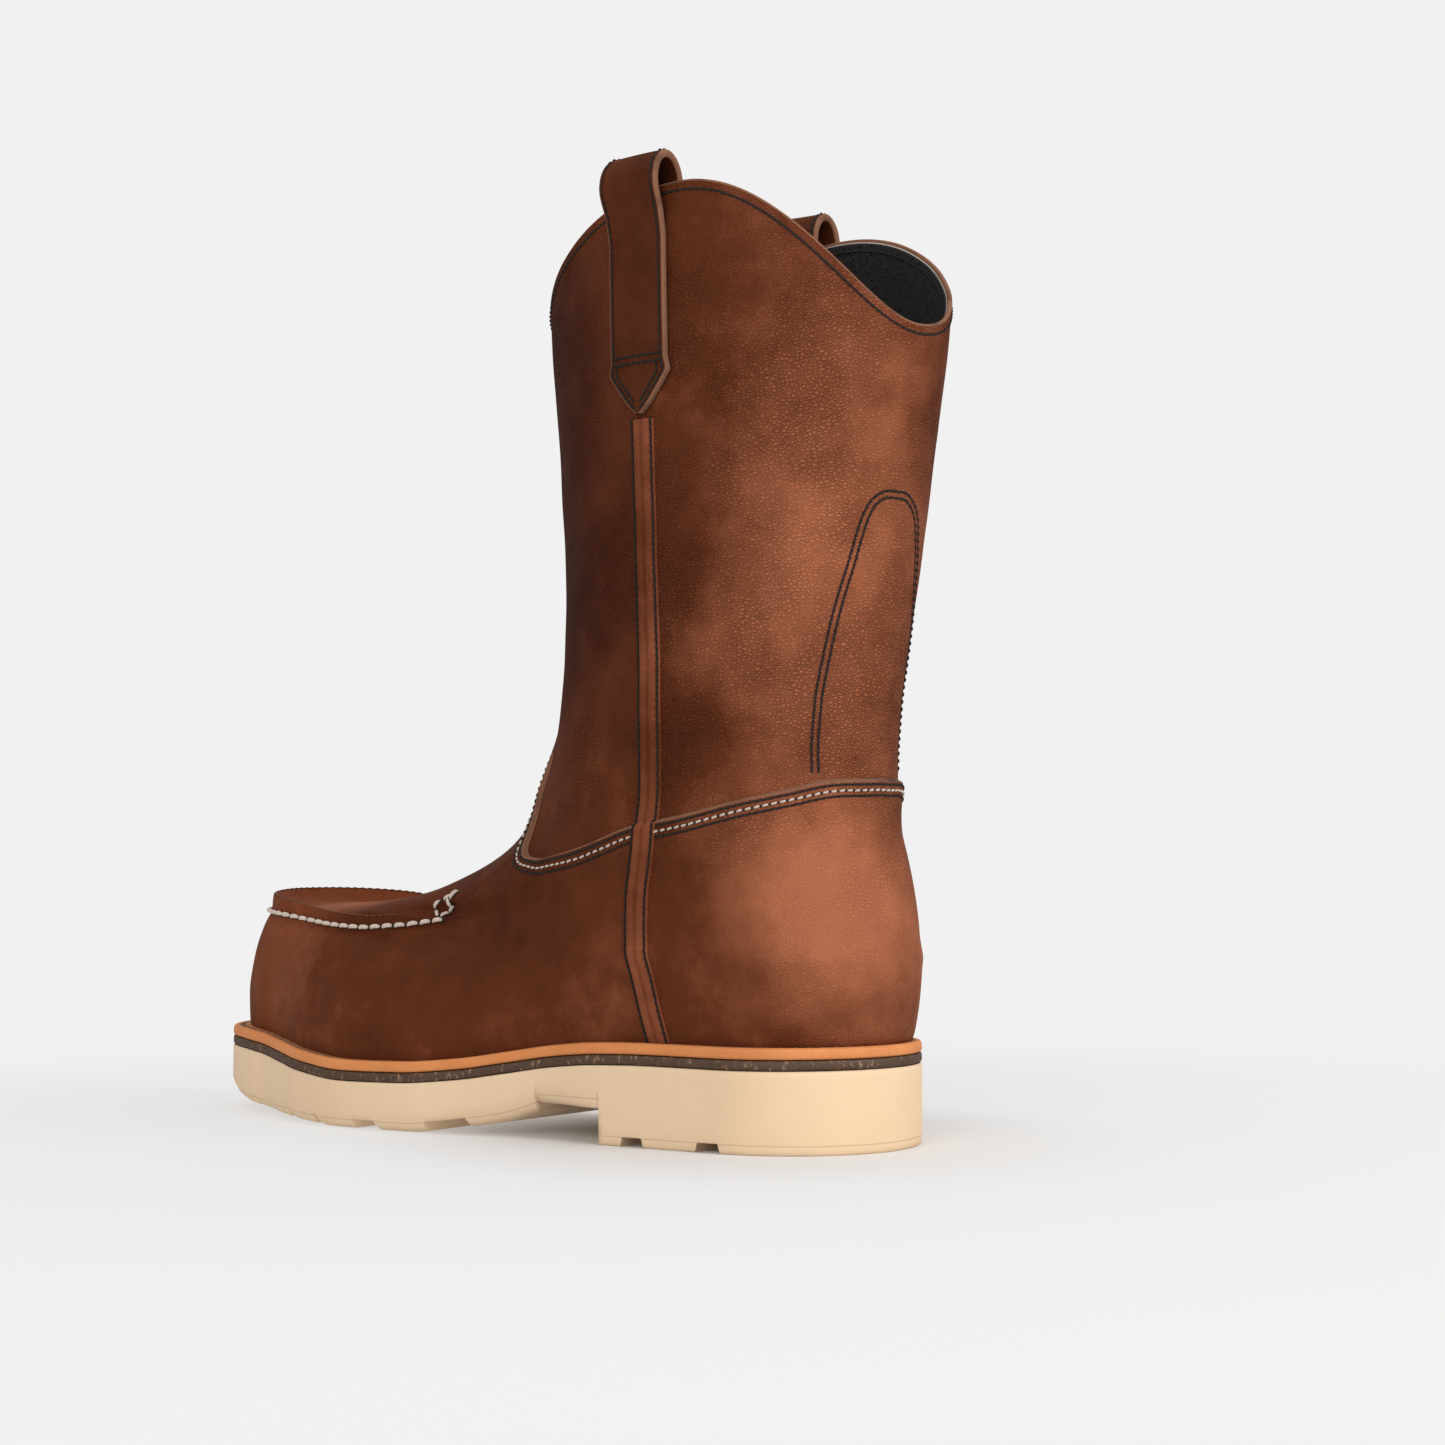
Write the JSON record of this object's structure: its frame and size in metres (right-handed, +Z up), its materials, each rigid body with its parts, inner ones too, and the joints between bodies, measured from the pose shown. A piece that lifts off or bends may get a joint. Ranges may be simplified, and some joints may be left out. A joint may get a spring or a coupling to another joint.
{
  "type": "pull-on moc-toe work boot",
  "caption": "Left pull-on work boot with scalloped tall shaft, moc toe, pull loops over the collar, leather welt all round and lugged foam wedge with heel.",
  "frame": {"origin": "on the ground under the heel's front lug", "axes": "+Z up, toe towards -Y, lateral side towards +X"},
  "size_m": [0.1164, 0.3167, 0.3292],
  "materials": {
    "foam_rubber": "matt cream foam rubber with fine level lines",
    "dark_rubber": "matt dark brown with tan flecks",
    "welt_leather": "burnished orange-tan edge",
    "insole_board": "matt tan board",
    "oiled_leather": "oiled pull-up brown, darker and lighter in patches, semi-matt",
    "trim_leather": "oiled brown with lighter raw edges",
    "lining_mesh": "black knitted mesh",
    "white_thread": "off-white waxed thread",
    "black_thread": "black waxed thread"
  },
  "bodies": {
    "root": {"outsole": "foam_rubber", "midsole": "dark_rubber", "welt": "welt_leather", "insole": "insole_board", "upper": "oiled_leather", "moc_seam": "trim_leather", "side_strip_lateral": "trim_leather", "side_strip_medial": "trim_leather", "pull_strap_lateral": "trim_leather", "pull_strap_medial": "trim_leather"}
  },
  "joints": []
}
